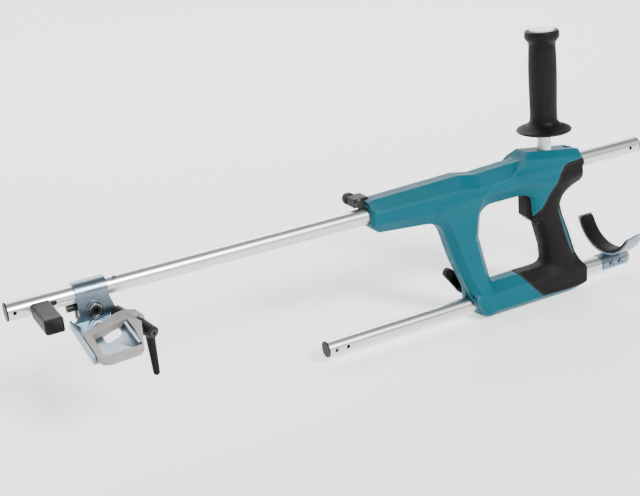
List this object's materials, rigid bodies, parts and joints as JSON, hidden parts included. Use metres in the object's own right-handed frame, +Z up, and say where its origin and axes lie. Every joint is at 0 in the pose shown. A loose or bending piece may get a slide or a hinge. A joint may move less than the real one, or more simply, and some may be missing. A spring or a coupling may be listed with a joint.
{
  "type": "extension handle",
  "caption": "Two-tube extension handle for a hand-held tool: D-grip housing with a trigger, side grip, arm rest and a clamping bracket with a remote trigger finger.",
  "frame": {"origin": "on the upper tube's axis, straight below the side grip", "axes": "+X along the tubes to the rear, towards the arm rest; +Z up; -Y towards the clamping tray"},
  "size_m": [0.7825, 0.1464, 0.3276],
  "materials": {
    "teal_plastic": "moulded glass-filled nylon",
    "grip_rubber": "fine matt overmould",
    "tube_aluminium": "satin anodised",
    "black_plastic": "moulded",
    "white_plastic": "moulded",
    "grip_black": "soft side grip",
    "zinc_steel": "zinc plated",
    "bright_steel": "turned",
    "black_steel": "black oxide",
    "cast_alloy": "die cast",
    "finger_cast": "dark die cast",
    "brass": "turned",
    "foam": "foam pad with cloth face",
    "strap_steel": "blue-grey coated steel"
  },
  "bodies": {
    "housing": {"housing_left": "teal_plastic", "housing_right": "teal_plastic", "grip_rubber_left": "grip_rubber", "grip_rubber_right": "grip_rubber", "grip_inserts": "teal_plastic", "housing_screws": "black_steel", "upper_front_bush": "black_plastic", "upper_rear_bush": "black_plastic", "lower_front_bush": "black_plastic", "lower_rear_bush": "black_plastic", "upper_lock_stud": "black_steel", "lower_lock_stud": "black_steel", "trigger_spring": "bright_steel", "side_grip_nut": "brass", "side_grip_stud": "bright_steel", "side_grip_collar": "white_plastic", "side_grip_core": "white_plastic", "side_grip_rubber": "grip_black"},
    "upper_tube": {"upper_tube": "tube_aluminium", "upper_front_cap": "black_plastic", "upper_rear_cap": "black_plastic", "stop_rivet": "bright_steel"},
    "lower_tube": {"lower_tube": "tube_aluminium", "lower_front_cap": "black_plastic", "lower_rear_cap": "black_plastic", "arm_clip": "zinc_steel", "arm_strap": "strap_steel", "arm_pad": "foam", "strap_rivet": "bright_steel", "arm_screws": "zinc_steel"},
    "trigger": {"trigger": "black_plastic", "trigger_tongue": "bright_steel", "rod_shoe": "bright_steel"},
    "upper_lock_lever": {"upper_lock_lever": "black_plastic"},
    "lower_lock_lever": {"lower_lock_lever": "black_plastic"},
    "finger": {"pull_rod": "tube_aluminium", "finger_slider": "black_plastic", "finger": "finger_cast", "finger_boot": "grip_black", "finger_screw": "bright_steel"},
    "bracket": {"tool_bracket": "zinc_steel", "slot_washer": "zinc_steel", "pinch_slider": "bright_steel", "pinch_bolt": "black_steel", "pinch_nut": "zinc_steel", "clamp_block": "black_plastic", "block_screw": "black_steel", "spindle_nut": "black_steel", "clamp_spindle": "bright_steel"},
    "clamp_frame": {"clamp_frame": "cast_alloy"},
    "clamp_lever": {"clamp_lever": "black_plastic", "lever_screw": "black_steel"}
  },
  "joints": [
    {"name": "upper_tube_slide", "type": "slide", "parent": "housing", "child": "upper_tube", "axis": [1, 0, 0], "range_m": [-0.06, 0.1]},
    {"name": "lower_tube_slide", "type": "slide", "parent": "housing", "child": "lower_tube", "axis": [1, 0, 0], "range_m": [-0.02, 0.12]},
    {"name": "trigger_squeeze", "type": "slide", "parent": "housing", "child": "trigger", "axis": [1, 0, 0], "range_m": [0, 0.008], "stiffness_N_per_m": 600, "springref_m": -0.008, "deforming": ["trigger_spring"]},
    {"name": "finger_pull", "type": "slide", "parent": "upper_tube", "child": "finger", "axis": [1, 0, 0], "range_m": [0, 0.008]},
    {"name": "upper_lock_turn", "type": "hinge", "parent": "housing", "child": "upper_lock_lever", "pos_m": [-0.251, 0, 0.015], "axis": [0, 1, 0], "range_deg": [-90, 0]},
    {"name": "lower_lock_turn", "type": "hinge", "parent": "housing", "child": "lower_lock_lever", "pos_m": [-0.111, 0, -0.129], "axis": [0, 1, 0], "range_deg": [-50, 20]},
    {"name": "bracket_slide", "type": "slide", "parent": "upper_tube", "child": "bracket", "axis": [1, 0, 0], "range_m": [-0.006, 0.004]},
    {"name": "clamp_slide", "type": "slide", "parent": "bracket", "child": "clamp_frame", "axis": [0.309, -0.9405, -0.1411], "range_m": [0, 0.00065972]},
    {"name": "clamp_lever_turn", "type": "hinge", "parent": "clamp_frame", "child": "clamp_lever", "pos_m": [-0.52664, -0.04539, -0.03232], "axis": [0.309, -0.9405, -0.1411], "range_deg": [0, 190]}
  ],
  "couplings": [
    {"joint": "finger_pull", "follows": "trigger_squeeze", "ratio": 1},
    {"joint": "clamp_lever_turn", "follows": "clamp_slide", "rad_per_m": 5026.5}
  ]
}
